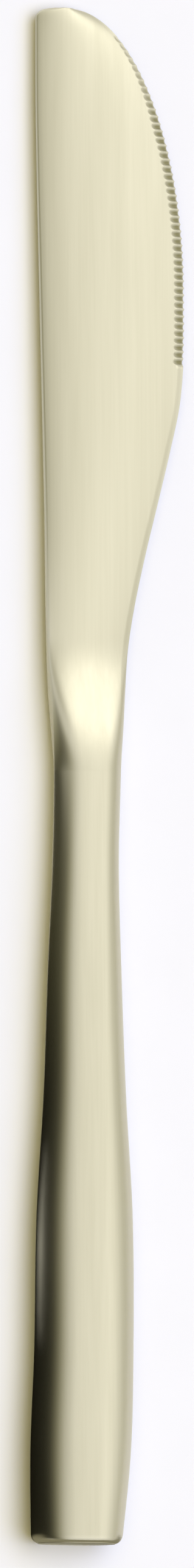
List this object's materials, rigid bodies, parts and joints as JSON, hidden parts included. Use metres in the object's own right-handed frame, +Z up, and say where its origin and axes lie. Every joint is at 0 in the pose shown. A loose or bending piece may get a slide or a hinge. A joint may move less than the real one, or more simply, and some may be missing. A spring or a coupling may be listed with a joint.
{
  "type": "table knife",
  "caption": "Table knife with a slim hollow handle, flat-topped with sloping sides and a square butt, and a round-tipped blade with a finely serrated edge, in a pale gold satin finish.",
  "frame": {"origin": "middle of the knife's box on the table, where the flat underside of the handle lies at z = 0", "axes": "+Y along the knife towards the blade's tip, +X towards the cutting edge, +Z up from the table"},
  "size_m": [0.0248, 0.23, 0.009],
  "materials": {
    "coated_steel": "stainless steel, satin brushed lengthwise and coated pale gold",
    "coated_braze": "silver braze, ground flush, brushed and coated with the steel around it",
    "cement": "hardened mineral-filled resin, not visible"
  },
  "bodies": {
    "root": {"blade": "coated_steel", "upper_shell": "coated_steel", "lower_shell": "coated_steel", "shell_seam": "coated_braze", "mouth_braze": "coated_braze", "tang_cement": "cement"}
  },
  "joints": []
}
